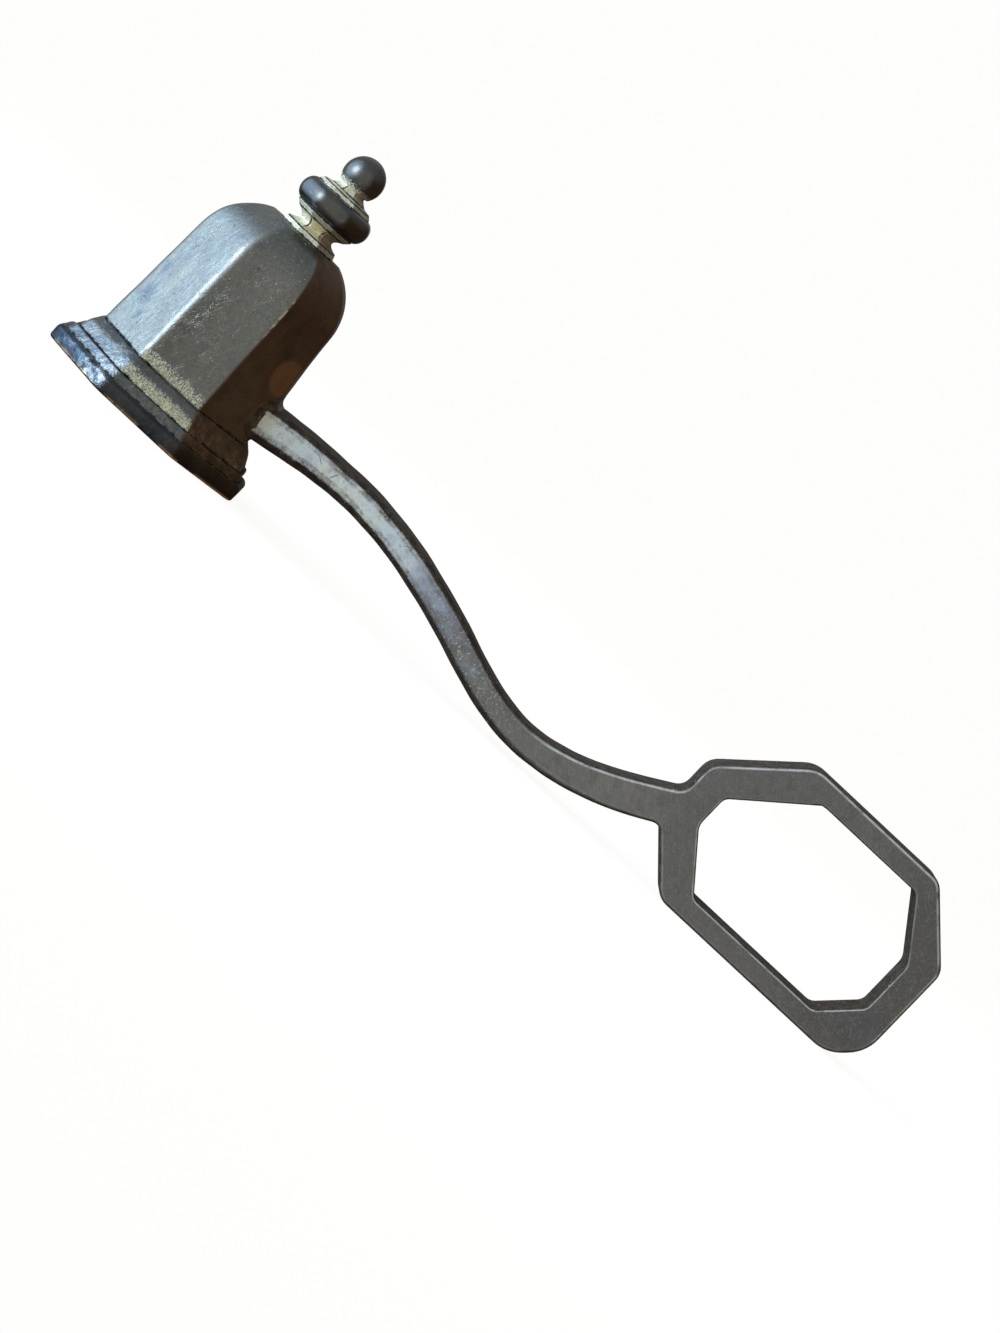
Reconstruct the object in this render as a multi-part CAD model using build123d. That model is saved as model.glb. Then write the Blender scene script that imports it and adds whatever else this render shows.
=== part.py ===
from build123d import *
import os
from math import cos, radians, sin, tan

# Candle snuffer: an octagonal cast bell, a finial screwed down on its crown,
# and a cast arm that is brazed to the bell and ends in a finger ring.
# Millimetres. The mouth of the bell is centred on the origin and lies on z = 0,
# +Z runs up through the finial and the arm runs along +X.
# The bell's lip and the finger ring both stand on z = 0.

# Bell wall, half widths measured from the axis to a flat
wall_foot_half = 12.8
wall_taper = 0.85
crown_half = 6.2
wall_height = 17.9
shoulder_height = 8.2

# Rim mouldings, from the wall down: a scored line, a sloping ledge, a band, a hollow step and a lip
score_depth = 0.15
score_height = 0.2
ledge_height = 1.1
ledge_run = 1.0
band_height = 1.9
band_run = 0.8
hollow_height = 1.6
hollow_run = 0.8
step_run = 0.3
lip_height = 2.2
lip_run = 0.65
lip_round_z = 0.8
lip_undercut = 0.55

# Round core inside the bell
bore_radius = 10.4
bore_flare = 3.8
crown_wall = 2.5
core_round = 4.6

# Finial, half widths from the axis to a flat and heights from the crown up
flange_half = 4.45
flange_slope = 0.3
flange_height = 0.9
neck_half = 2.65
neck_drop = 0.85
neck_rise = 1.1
disc_half = 4.05
disc_slope = 0.7
disc_height = 0.8
bead_seat_half = 4.6
bead_half = 5.82
bead_height = 3.6
cap_disc_half = 4.45
cap_disc_slope = 0.5
cap_disc_height = 0.75
cap_shoulder_half = 2.9
cap_shoulder_height = 0.25
ball_neck_half = 2.08
ball_neck_height = 0.65
ball_radius = 3.1
ball_rise = 2.3

# Screw and washer that hold the finial from inside the crown
screw_radius = 1.5
screw_thread_clearance = 0.03
screw_hole_clearance = 0.2
screw_grip = 5.2
screw_tip_room = 0.6
screw_head_radius = 2.75
screw_head_height = 1.9
screw_slot_width = 0.7
screw_slot_depth = 0.9
washer_radius = 3.9
washer_thickness = 0.8

# Arm centre line: place, slope in degrees and width square to the line
arm_root_z = 10.75
arm_root_slope = 8.0
arm_root_width = 6.0
arm_root_sink = 2.0
arm_crest_x = 28.0
arm_crest_z = 12.15
arm_crest_width = 4.75
arm_fall_x = 53.1
arm_fall_z = 6.75
arm_fall_slope = -19.8
arm_fall_width = 4.6
arm_dip_x = 68.1
arm_dip_z = 3.2
arm_dip_width = 4.45
arm_rise_x = 88.0
arm_rise_z = 9.6
arm_rise_slope = 30.0
arm_rise_width = 5.4
arm_end_in_ring = 1.5

# Depth across the arm and the ring, along Y
arm_root_depth = 12.6
ring_depth = 7.0
even_depth_x = 80.0
handle_edge_round = 0.6

# Finger ring: a long octagon with four bands. A foot corner's cut is its run along X and rise along Z,
# and an upper corner's cut has a run and starts where the upright flat below it ends
ring_x = 89.5
ring_length = 43.5
ring_height = 28.3
band_arm_side = 4.7
band_far_side = 4.35
band_top = 3.4
band_bottom = 3.3
outer_arm_foot_cut = (7.7, 8.3)
outer_arm_flat = 10.2
outer_arm_top_run = 11.3
outer_far_foot_cut = (4.0, 4.0)
outer_far_flat = 15.0
outer_far_top_run = 9.2
inner_arm_foot_cut = (6.5, 7.9)
inner_arm_flat = 5.1
inner_arm_top_run = 10.6
inner_far_foot_cut = (5.2, 5.2)
inner_far_flat = 8.1
inner_far_top_run = 6.2
ring_outer_round = 1.8
ring_inner_round = 1.0
ring_worn_round = 6.0
ring_joint_round = 0.8

# Tenon on the arm's root, let into the bell's wall and brazed
tenon_width = 5.0
tenon_height = 3.2
tenon_clearance = 0.05
braze_top_leg = 1.2
braze_foot_leg = 0.6
braze_length = 9.6

# Distance under which two points count as the same point
touch = 0.001

# Levels and widths that follow from the sizes above
hollow_top_z = lip_height + hollow_height
band_top_z = hollow_top_z + band_height
ledge_top_z = band_top_z + ledge_height
wall_foot_z = ledge_top_z + score_height
shoulder_z = wall_foot_z + wall_height
crown_z = shoulder_z + shoulder_height
core_top_z = crown_z - crown_wall
shoulder_half = wall_foot_half - wall_taper
score_half = wall_foot_half - score_depth
ledge_half = wall_foot_half + ledge_run
band_half = ledge_half + band_run
hollow_top_half = band_half + step_run
hollow_foot_half = hollow_top_half + hollow_run
lip_top_half = hollow_foot_half + step_run
lip_half = lip_top_half + lip_run
lip_foot_half = lip_half - lip_undercut
mouth_radius = bore_radius + bore_flare
ring_far_x = ring_x + ring_length
arm_root_x = wall_foot_half - wall_taper * (arm_root_z - wall_foot_z) / wall_height
arm_root_rise = tan(radians(arm_root_slope))
arm_root_half = arm_root_width / 2 / cos(radians(arm_root_slope))


def half_profile(edges, foot_z, top_z):
    """Face between the axis and a chain of edges that climbs from foot_z to top_z."""
    axis_line = Line((0, top_z), (0, foot_z))
    return make_face(edges + [axis_line])


def octagonal(profile):
    """Octagonal moulding: the profile pushed through from four directions, an octagon at each level."""
    across = profile + mirror(profile, about=Plane.YZ)
    slab = extrude(Plane.XZ * across, amount=2 * lip_half, both=True)
    solid = slab
    for turn in (45, 90, 135):
        solid = solid & slab.rotate(Axis.Z, turn)
    return solid


def bell_blank():
    """Outside of the bell with no core, tenon slot or screw hole."""
    rim = Polyline(
        (lip_top_half, lip_height),
        (hollow_foot_half, lip_height),
        (hollow_top_half, hollow_top_z),
        (band_half, hollow_top_z),
        (ledge_half, band_top_z),
        (wall_foot_half, ledge_top_z),
        (score_half, ledge_top_z + score_height / 2),
        (wall_foot_half, wall_foot_z),
        (shoulder_half, shoulder_z),
    )
    lip = ThreePointArc((lip_foot_half, 0), (lip_half, lip_round_z), (lip_top_half, lip_height))
    wall_direction = (-wall_taper, wall_height)
    shoulder = TangentArc((shoulder_half, shoulder_z), (crown_half, crown_z), tangent=wall_direction)
    foot = Line((0, 0), (lip_foot_half, 0))
    crown = Line((crown_half, crown_z), (0, crown_z))
    return octagonal(half_profile([foot, lip, rim, shoulder, crown], 0, crown_z))


def bell_core():
    """Round core: a flared mouth, a straight bore and a domed top that is flat for the washer."""
    mouth = (mouth_radius, 0)
    bore_foot = (bore_radius, wall_foot_z)
    bore_top = (bore_radius, core_top_z)
    face = make_face(Polyline((0, 0), mouth, bore_foot, bore_top, (0, core_top_z), close=True))
    corner = face.vertices().sort_by(lambda v: v.X + v.Y)[-1]
    face = fillet(corner, core_round)
    return revolve(Plane.XZ * face, Axis.Z)


def on_axis(radius, foot_z, top_z):
    """Round bar or hole on the bell's axis between two levels."""
    standing = (Align.CENTER, Align.CENTER, Align.MIN)
    return Pos(0, 0, foot_z) * Cylinder(radius, top_z - foot_z, align=standing)


def tenon(clearance):
    """Block from the bore to the arm's root, grown by the clearance on its four sides."""
    width = tenon_width + 2 * clearance
    height = tenon_height + 2 * clearance
    length = wall_foot_half - bore_radius / 2
    block = Box(length, width, height, align=(Align.MIN, Align.CENTER, Align.CENTER))
    return Pos(bore_radius / 2, 0, arm_root_z) * block


def bell():
    """Bell casting: cored, drilled through the crown and slotted for the arm's tenon."""
    hole = on_axis(screw_radius + screw_hole_clearance, core_top_z - crown_wall, crown_z + crown_wall)
    return bell_blank() - bell_core() - hole - tenon(tenon_clearance)


def finial():
    """Finial: flange, octagonal necks, discs and bead, with a round ball, tapped from below."""
    flange_z = crown_z + flange_height
    neck_z = flange_z + neck_drop
    disc_z = neck_z + neck_rise
    bead_z = disc_z + disc_height
    cap_z = bead_z + bead_height
    cap_top_z = cap_z + cap_disc_height
    shoulder_top_z = cap_top_z + cap_shoulder_height
    ball_neck_z = shoulder_top_z + ball_neck_height
    ball_z = ball_neck_z + ball_rise
    flange_top = (flange_half - flange_slope, flange_z)
    flange = Polyline((0, crown_z), (flange_half, crown_z), flange_top)
    lower_cove = ThreePointArc(flange_top, (neck_half, neck_z), (disc_half, disc_z))
    disc = Polyline((disc_half, disc_z), (disc_half + disc_slope, bead_z), (bead_seat_half, bead_z))
    bead_middle = (bead_half, bead_z + bead_height / 2)
    bead = ThreePointArc((bead_seat_half, bead_z), bead_middle, (bead_seat_half, cap_z))
    cap_disc = Polyline(
        (bead_seat_half, cap_z),
        (cap_disc_half, cap_z),
        (cap_disc_half - cap_disc_slope, cap_top_z),
        (cap_shoulder_half, shoulder_top_z),
        (ball_neck_half, ball_neck_z),
        (ball_neck_half, ball_z),
        (0, ball_z),
    )
    body = octagonal(half_profile([flange, lower_cove, disc, bead, cap_disc], crown_z, ball_z))
    ball = Pos(0, 0, ball_z) * Sphere(ball_radius)
    tapped_top_z = crown_z + screw_grip + screw_tip_room
    tapped = on_axis(screw_radius + screw_thread_clearance, crown_z - crown_wall, tapped_top_z)
    return body + ball - tapped


def finial_washer():
    """Flat washer inside the crown."""
    foot_z = core_top_z - washer_thickness
    disc = on_axis(washer_radius, foot_z, core_top_z)
    return disc - on_axis(screw_radius + screw_hole_clearance, foot_z - crown_wall, crown_z)


def finial_screw():
    """Slotted round-head screw, up through washer and crown into the finial."""
    head_top_z = core_top_z - washer_thickness
    head_foot_z = head_top_z - screw_head_height
    shank = on_axis(screw_radius, head_top_z - screw_head_height / 2, crown_z + screw_grip)
    head = on_axis(screw_head_radius, head_foot_z, head_top_z)
    head = fillet(head.edges().sort_by(Axis.Z)[0], screw_head_height / 2)
    slot_length = 2 * screw_head_radius + screw_slot_width
    standing = (Align.CENTER, Align.CENTER, Align.MIN)
    slot = Box(slot_length, screw_slot_width, screw_slot_depth, align=standing)
    return head + shank - Pos(0, 0, head_foot_z) * slot


def arm_stations():
    """Centre line of the arm as (x, z, slope, width), from inside the bell to inside the ring."""
    start_x = arm_root_x - arm_root_sink
    start_z = arm_root_z - arm_root_sink * arm_root_rise
    end_x = ring_x + arm_end_in_ring
    end_z = arm_rise_z + (end_x - arm_rise_x) * tan(radians(arm_rise_slope))
    return [
        (start_x, start_z, arm_root_slope, arm_root_width),
        (arm_root_x, arm_root_z, arm_root_slope, arm_root_width),
        (arm_crest_x, arm_crest_z, 0.0, arm_crest_width),
        (arm_fall_x, arm_fall_z, arm_fall_slope, arm_fall_width),
        (arm_dip_x, arm_dip_z, 0.0, arm_dip_width),
        (arm_rise_x, arm_rise_z, arm_rise_slope, arm_rise_width),
        (end_x, end_z, arm_rise_slope, arm_rise_width),
    ]


def arm_edge(side):
    """One long edge of the arm: cubic spans through the stations, moved square to the centre line."""
    points = []
    directions = []
    for x, z, slope, width in arm_stations():
        direction = Vector(cos(radians(slope)), sin(radians(slope)))
        square = Vector(-direction.Y, direction.X)
        points.append(Vector(x, z) + square * (side * width / 2))
        directions.append(direction)
    spans = []
    for i in range(len(points) - 1):
        reach = (points[i + 1] - points[i]).length / 3
        first_handle = points[i] + directions[i] * reach
        last_handle = points[i + 1] - directions[i + 1] * reach
        spans.append(Bezier(points[i], first_handle, last_handle, points[i + 1]))
    return spans


def arm_face():
    """Side outline of the arm."""
    top = arm_edge(1)
    foot = arm_edge(-1)
    root_end = Line(foot[0] @ 0, top[0] @ 0)
    ring_end = Line(foot[-1] @ 1, top[-1] @ 1)
    return make_face(top + foot + [root_end, ring_end])


def cut_corner_loop(left, right, foot, top, arm_side, far_side, rounds):
    """Rectangle with its corners cut off. A side is (cut at its foot, upright flat, run of its upper cut).

    The rounds are the radius of most corners and the radius of the two at the far foot.
    """
    corner_round, far_foot_round = rounds
    (arm_foot_run, arm_foot_rise), arm_flat, arm_top_run = arm_side
    (far_foot_run, far_foot_rise), far_flat, far_top_run = far_side
    points = [
        (left, foot + arm_foot_rise + arm_flat),
        (left + arm_top_run, top),
        (right - far_top_run, top),
        (right, foot + far_foot_rise + far_flat),
        (right, foot + far_foot_rise),
        (right - far_foot_run, foot),
        (left + arm_foot_run, foot),
        (left, foot + arm_foot_rise),
    ]
    face = make_face(Polyline(*points, close=True))
    worn = face.vertices().sort_by(lambda v: v.X - v.Y)[-2:]
    rest = [v for v in face.vertices() if v not in worn]
    face = fillet(rest, corner_round)
    worn = [v for v in face.vertices() if min(v.distance_to(w) for w in worn) < touch]
    return fillet(worn, far_foot_round)


def handle_face():
    """Side outline of the arm and the finger ring as one casting."""
    arm_side = (outer_arm_foot_cut, outer_arm_flat, outer_arm_top_run)
    far_side = (outer_far_foot_cut, outer_far_flat, outer_far_top_run)
    rounds = (ring_outer_round, ring_worn_round)
    outer = cut_corner_loop(ring_x, ring_far_x, 0, ring_height, arm_side, far_side, rounds)
    left = ring_x + band_arm_side
    right = ring_far_x - band_far_side
    top = ring_height - band_top
    arm_side = (inner_arm_foot_cut, inner_arm_flat, inner_arm_top_run)
    far_side = (inner_far_foot_cut, inner_far_flat, inner_far_top_run)
    rounds = (ring_inner_round, ring_inner_round)
    inner = cut_corner_loop(left, right, band_bottom, top, arm_side, far_side, rounds)
    arm = arm_face()
    whole = outer + arm - inner
    arm_loop = arm.face().outer_wire()
    ring_loop = outer.face().outer_wire()
    on_arm = [v for v in whole.vertices() if v.distance_to(arm_loop) < touch]
    return fillet([v for v in on_arm if v.distance_to(ring_loop) < touch], ring_joint_round)


def handle_plan():
    """Outline seen from above: even over the ring, then swelling on wide arcs towards the bell."""
    root = arm_root_depth / 2
    ring = ring_depth / 2
    past = ring_far_x + ring_depth
    start_x = arm_root_x - arm_root_sink
    near = TangentArc((even_depth_x, -ring), (start_x, -root), tangent=(-1, 0))
    far = TangentArc((even_depth_x, ring), (start_x, root), tangent=(-1, 0))
    even = Polyline((even_depth_x, -ring), (past, -ring), (past, ring), (even_depth_x, ring))
    return make_face([near, even, far, Line((start_x, -root), (start_x, root))])


def handle_bar():
    """Arm and ring with their long edges rounded, before the root is shaped to the bell."""
    side = extrude(Plane.XZ * handle_face(), amount=arm_root_depth, both=True)
    plan = Pos(0, 0, -ring_height) * extrude(handle_plan(), amount=3 * ring_height)
    bar = side & plan
    flats = [face for face in bar.faces() if abs(face.normal_at().Y) > cos(radians(45))]
    borders = [edge for face in flats for edge in face.edges()]
    seams = [edge for edge in borders if sum(edge.is_same(other) for other in borders) > 1]
    return fillet([edge for edge in borders if edge not in seams], handle_edge_round)


def handle():
    """Handle casting: its root shaped to the bell's flats, with a tenon through the wall."""
    root = handle_bar() - bell_blank()
    return root + (tenon(0) - bell_core())


def braze_prism(corner_z, leg, side):
    """Hollow-faced fillet in the corner of bell and arm, above the arm (side 1) or below it (-1)."""
    corner_x = wall_foot_half - wall_taper * (corner_z - wall_foot_z) / wall_height
    end_z = corner_z + leg * arm_root_rise
    sunk = leg * (1 - cos(radians(45)))
    high = (corner_x, corner_z + side * leg)
    hollow = (corner_x + sunk, corner_z + side * sunk)
    low = (corner_x + leg, end_z)
    face = ThreePointArc(high, hollow, low)
    behind = Polyline(low, (corner_x + leg, end_z - side * leg), (corner_x - leg, corner_z - side * leg))
    back = Polyline((corner_x - leg, corner_z - side * leg), (corner_x - leg, corner_z + side * leg), high)
    return extrude(Plane.XZ * make_face([face, behind, back]), amount=braze_length / 2, both=True)


def braze_fillets():
    """Braze metal that shows above and below the arm's root."""
    above = braze_prism(arm_root_z + arm_root_half, braze_top_leg, 1)
    below = braze_prism(arm_root_z - arm_root_half, braze_foot_leg, -1)
    return (above + below) - bell_blank() - handle_bar()


if __name__ == "__main__":
    os.makedirs("parts", exist_ok=True)
    pieces = {
        "bell": bell(),
        "finial": finial(),
        "finial_screw": finial_screw(),
        "finial_washer": finial_washer(),
        "handle": handle(),
        "braze_fillets": braze_fillets(),
    }
    for name, piece in pieces.items():
        export_step(piece, f"parts/{name}.step")
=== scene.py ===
import bmesh
import bpy
import numpy as np
from mathutils import Matrix, Vector


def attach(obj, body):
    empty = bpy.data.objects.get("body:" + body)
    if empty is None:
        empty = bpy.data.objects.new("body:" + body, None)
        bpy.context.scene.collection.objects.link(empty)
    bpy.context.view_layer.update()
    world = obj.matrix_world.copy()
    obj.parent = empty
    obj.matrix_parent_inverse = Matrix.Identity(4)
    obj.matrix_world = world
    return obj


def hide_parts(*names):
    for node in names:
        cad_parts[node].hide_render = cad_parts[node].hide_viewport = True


# Candle snuffer: an octagonal bell of tarnished cast brass, its finial, and a filed arm with a finger ring.
# The shapes are worked out in millimetres in the frame's own axes and put into the meshes in metres.

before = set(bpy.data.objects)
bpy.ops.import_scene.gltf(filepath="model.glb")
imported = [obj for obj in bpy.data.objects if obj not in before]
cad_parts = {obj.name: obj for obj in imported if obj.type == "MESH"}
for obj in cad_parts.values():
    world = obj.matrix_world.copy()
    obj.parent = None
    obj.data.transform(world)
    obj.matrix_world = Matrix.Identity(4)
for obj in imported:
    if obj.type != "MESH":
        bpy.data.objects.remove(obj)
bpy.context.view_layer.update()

MM = 0.001
SLANT = np.tan(np.radians(22.5))

# Bell, half widths from the axis to a flat
WALL_FOOT_HALF, WALL_FOOT_Z = 12.8, 7.0
SHOULDER_HALF, SHOULDER_Z = 11.95, 24.9
CROWN_HALF, CROWN_Z = 6.2, 33.1
BORE_RADIUS, MOUTH_RADIUS = 10.4, 14.2
CORE_TOP_Z = 30.6
SCREW_HOLE_RADIUS = 1.7

# How soft each corner of the bell is, from the one after +X round
CORNER_SOFTNESS = (1.2, 1.1, 1.2, 1.0, 1.3, 1.6, 0.7, 1.6)
# Creases of the rim, as half width, height, reach and how much fainter they are on the front flat
RIM_CREASES = [(12.62, 6.9, 0.36, 0.5), (14.72, 3.8, 0.42, 0.2), (15.72, 2.36, 0.44, 0.35)]
# Nicks in the lip: bearing in degrees, depth, spread in degrees
LIP_NICKS = [(28, 0.12, 2.0), (79, 0.18, 2.6), (140, 0.1, 2.2), (205, 0.12, 1.8), (231, 0.16, 1.5),
             (238, 0.2, 2.0), (262, 0.1, 1.3), (291, 0.2, 2.4), (303, 0.14, 1.2), (330, 0.15, 2.8)]
# Unevenness of the casting: its waver, the shoulder drawn in and the rim swollen on the arm's side, and the
# shoulder swollen on the far side, with the bearings of the two sides in degrees
CAST_WAVER, SHOULDER_DRAWN, RIM_SWOLLEN, FAR_SWOLLEN = 0.06, 0.45, 0.35, 0.2
ARM_SIDE, FAR_SIDE = -10, 190

# Finial levels
FLANGE_Z, DISC_FOOT_Z, BEAD_FOOT_Z = 34.0, 35.95, 36.75
BEAD_TOP_Z, CAP_TOP_Z, BALL_NECK_Z = 40.35, 41.1, 42.0
BALL_Z, BALL_RADIUS = 44.3, 3.1
TAPPED_RADIUS, TAPPED_TOP_Z = 1.53, 38.9
# Dark lines of the finial's edges, as half width, height and reach: dirt, and at the disc's foot a painted
# shadow under the disc
FINIAL_LINES = [(4.45, 33.15, 0.24), (4.15, 34.0, 0.26), (4.0, 35.9, 0.42), (4.68, 36.78, 0.34),
                (4.4, 40.36, 0.32), (4.0, 41.08, 0.3), (2.75, 41.35, 0.3)]
NECK_GROOVE = 0.06

# Arm and ring
ARM_ROOT_X, ARM_ROOT_Z, ARM_ROOT_SLOPE, ARM_ROOT_WIDTH = 12.62, 10.8, 8.0, 5.35
ARM_ROOT_CLIMB = np.tan(np.radians(ARM_ROOT_SLOPE))
ARM_SINK = 1.3
ARM_END_SLOPE, ARM_END_WIDTH = 30.0, 5.2
RING_HALF_DEPTH, ROOT_HALF_DEPTH = 3.5, 6.3
SWELL_START_X, SWELL_END_X = 80.0, 10.6
RING_LEFT_X, RING_TOP_Z, RING_RIGHT_X = 89.5, 28.3, 133.0
RING_CENTRE = np.array([111.0, 14.0])
RING_BEVEL, HOLE_BEVEL = 0.45, 0.3

# Braze: half depth and half height of the arm inside it, and the cuts of that section's corners
BRAZE_X, BRAZE_INSET, BRAZE_HALF_HEIGHT = 12.6, 0.05, 2.61
BRAZE_TOP_CUT, BRAZE_FOOT_CUT = 0.85, 1.35
BRAZE_IN_BELL, BRAZE_BURIED = 0.03, 0.15

# Backdrop, floor and the light that comes from everywhere
BACKDROP = (0.992, 0.988, 0.978)
ROOM_SHADE = (0.045, 0.036, 0.028)
FLOOR_MIDDLE_X, FLOOR_RADIUS, FLOOR_DROP = 58.0, 700.0, 0.02

# Photograph, in pixels of its 1000 by 1333 frame, and the camera's sensor in millimetres
FOCAL_PIXELS, HEIGHT_PIXELS, SENSOR = 4000, 1333, 36


def parabola(t, start, pull, end):
    """Curve from start to end, drawn towards pull: (1 - t)^2 start + 2 t (1 - t) pull + t^2 end."""
    return (1 - t) ** 2 * start + 2 * t * (1 - t) * pull + t**2 * end


def eased_path(corners, ease, step):
    """Path through corners: each corner is cut back by its ease along both legs and bent as a parabola,
    each straight leg is divided into steps. Rows are (half or x, z, ...); lengths use the first two."""
    corners = np.asarray(corners, float)
    ease = np.broadcast_to(np.asarray(ease, float), len(corners))
    legs = np.linalg.norm(np.diff(corners[:, :2], axis=0), axis=1)
    bend = np.linspace(0, 1, 8)[:, None]
    last = corners[0]
    pieces = [corners[:1]]
    for i in range(1, len(corners)):
        start = end = corners[i]
        if i < len(corners) - 1:
            cut = min(ease[i], 0.48 * legs[i - 1], 0.48 * legs[i])
            start = corners[i] + (corners[i - 1] - corners[i]) * cut / legs[i - 1]
            end = corners[i] + (corners[i + 1] - corners[i]) * cut / legs[i]
        count = max(1, int(np.ceil(np.linalg.norm((start - last)[:2]) / step)))
        pieces.append(last + (start - last) * np.linspace(0, 1, count + 1)[1:, None])
        if i < len(corners) - 1:
            pieces.append(parabola(bend, start, corners[i], end)[1:])
        last = end
    return np.concatenate(pieces)


def tangent_arc(start, direction, end, count):
    """Arc from start to end that leaves along a direction and turns towards the axis."""
    start, end, direction = (np.asarray(p, float) for p in (start, end, direction))
    inward = np.array([-direction[1], direction[0]]) / np.linalg.norm(direction)
    across = end - start
    radius = across @ across / (2 * across @ inward)
    centre = start + inward * radius
    first = np.arctan2(*(start - centre)[::-1])
    final = np.arctan2(*(end - centre)[::-1])
    turn = np.linspace(first, final, count)
    return centre + radius * np.stack([np.cos(turn), np.sin(turn)], axis=1)


def octagon_columns(flat_steps, corner_steps, softness):
    """Points Q of an octagon whose flats are 1 from the axis, the outward directions N there, and evenly
    spread directions D. A rounded octagon of half width a and corner radius r is (a - r) Q + r N, and a
    circle of radius a is a D. The last arrays are 1 at the middle of a corner and 0 on the flats, and each
    corner's own softness, which its radius is multiplied by.
    """
    across = np.linspace(-1, 1, flat_steps + 1)
    sweep = np.linspace(0, 1, corner_steps + 1)[1:-1]
    facing = np.radians(45) * np.arange(8)[:, None]
    lean = np.concatenate([np.zeros_like(across), sweep * np.radians(45)])
    along = np.concatenate([across, np.ones_like(sweep)]) * SLANT
    corner = np.concatenate([np.zeros_like(across), np.sin(np.pi * sweep)])
    block = flat_steps + corner_steps
    even = facing + (np.arange(block) - flat_steps / 2) * np.radians(45) / block
    cos, sin = np.cos(facing), np.sin(facing)
    flat_q = np.stack([cos - along * sin, sin + along * cos], -1)
    normal = np.stack([np.cos(facing + lean), np.sin(facing + lean)], -1)
    spread = np.stack([np.cos(even), np.sin(even)], -1)
    soft, before = np.array(softness)[:, None], np.roll(softness, 1)[:, None]
    share = np.concatenate([(across + 1) / 2, np.ones_like(sweep)])
    soft = before + (soft - before) * share
    plans = [plan.reshape(-1, 2) for plan in (flat_q, normal, spread)]
    return *plans, np.tile(corner, 8), soft.ravel()


def moulded(profile, columns):
    """Grid of points: profile rows are (half width, height, corner radius, roundness), carried round.

    Roundness 0 is the rounded octagon, 1 is the circle inside it, and between them the two are mixed.
    """
    q, n, d, _, soft = columns
    half, height, corner, roundness = (profile[:, i, None, None] for i in range(4))
    corner = np.minimum(corner * soft[None, :, None], half)
    octagon = (half - corner) * q[None] + corner * n[None]
    plan = octagon * (1 - roundness) + half * d[None] * roundness
    level = np.broadcast_to(height, plan.shape[:2] + (1,))
    return np.concatenate([plan, level], axis=2)


def grid_faces(rows, cols, wrap=False):
    """Four-cornered faces of a grid of rows by columns, whose last column may join the first."""
    index = np.arange(rows * cols).reshape(rows, cols)
    if wrap:
        index = np.concatenate([index, index[:, :1]], axis=1)
    corners = [index[:-1, :-1], index[:-1, 1:], index[1:, 1:], index[1:, :-1]]
    return np.stack(corners, axis=-1).reshape(-1, 4)


def make_piece(name, grids, caps, node, finish):
    """One closed mesh from grids of (points, wrap, {mask: values}), with shared points merged.

    caps are (grid, row) pairs whose row is closed by one face. The mesh's place is in its points.
    """
    points, faces, values = [], [], {}
    starts = np.cumsum([0] + [g[0].shape[0] * g[0].shape[1] for g in grids])
    for start, (grid, wrap, masks) in zip(starts, grids):
        points.append(grid.reshape(-1, 3))
        faces.append(grid_faces(*grid.shape[:2], wrap) + start)
        for key, value in masks.items():
            values.setdefault(key, []).append(np.broadcast_to(value, grid.shape[:2]).ravel())
    points = np.concatenate(points) * MM
    _, kept, renamed = np.unique(np.round(points, 8), axis=0, return_index=True, return_inverse=True)
    renamed = renamed.ravel()
    loops = renamed[np.concatenate(faces)].tolist()
    for grid, row in caps:
        cols = grids[grid][0].shape[1]
        first = starts[grid] + (row % grids[grid][0].shape[0]) * cols
        loops.append(renamed[np.arange(first, first + cols)].tolist())
    mesh = bpy.data.meshes.new(name)
    mesh.from_pydata(points[kept].tolist(), [], loops)
    for key, parts in values.items():
        attribute = mesh.attributes.new(key, "FLOAT", "POINT")
        attribute.data.foreach_set("value", np.concatenate(parts)[kept].astype(np.float32))
    shell = bmesh.new()
    shell.from_mesh(mesh)
    open_edges = [e for e in shell.edges if e.is_boundary]
    if open_edges:
        bmesh.ops.holes_fill(shell, edges=open_edges, sides=0)
    bmesh.ops.recalc_face_normals(shell, faces=shell.faces)
    shell.to_mesh(mesh)
    shell.free()
    mesh.shade_smooth()
    mesh.materials.append(finish)
    piece = bpy.data.objects.new(name, mesh)
    bpy.context.scene.collection.objects.link(piece)
    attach(piece, "root")
    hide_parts(node)
    return piece


def near(value, centre, reach):
    """Soft bump: 1 at the centre, falling to 0 at the reach."""
    return np.clip(1 - np.abs(value - centre) / reach, 0, 1)


def rise(value, low, high):
    """Smooth step from 0 at low to 1 at high."""
    t = np.clip((value - low) / (high - low), 0, 1)
    return t * t * (3 - 2 * t)


def cast_waver(x, y, z):
    """Slow unevenness of a sand casting, 0 to 1: three sine waves that cross each other, added."""
    first = np.sin(0.41 * x + 0.23 * y + 0.57 * z)
    second = np.sin(0.63 * y - 0.29 * x + 0.34 * z + 1.3)
    third = np.sin(0.83 * x - 0.71 * y + 0.92 * z + 2.1)
    return 0.5 + (first + second + third) / 6


def bearing_gap(points, bearing):
    """Degrees round the axis between each point and a bearing."""
    angle = np.degrees(np.arctan2(points[..., 1], points[..., 0]))
    return np.abs((angle - bearing + 180) % 360 - 180)


def by_facet(points, shares):
    """One share for each of the eight flats, from +X round, joined over 3 degrees at the corners."""
    total = np.zeros(points.shape[:2])
    for i, share in enumerate(shares):
        total += share * rise(24.0 - bearing_gap(points, 45 * i), 0, 3)
    return total


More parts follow.
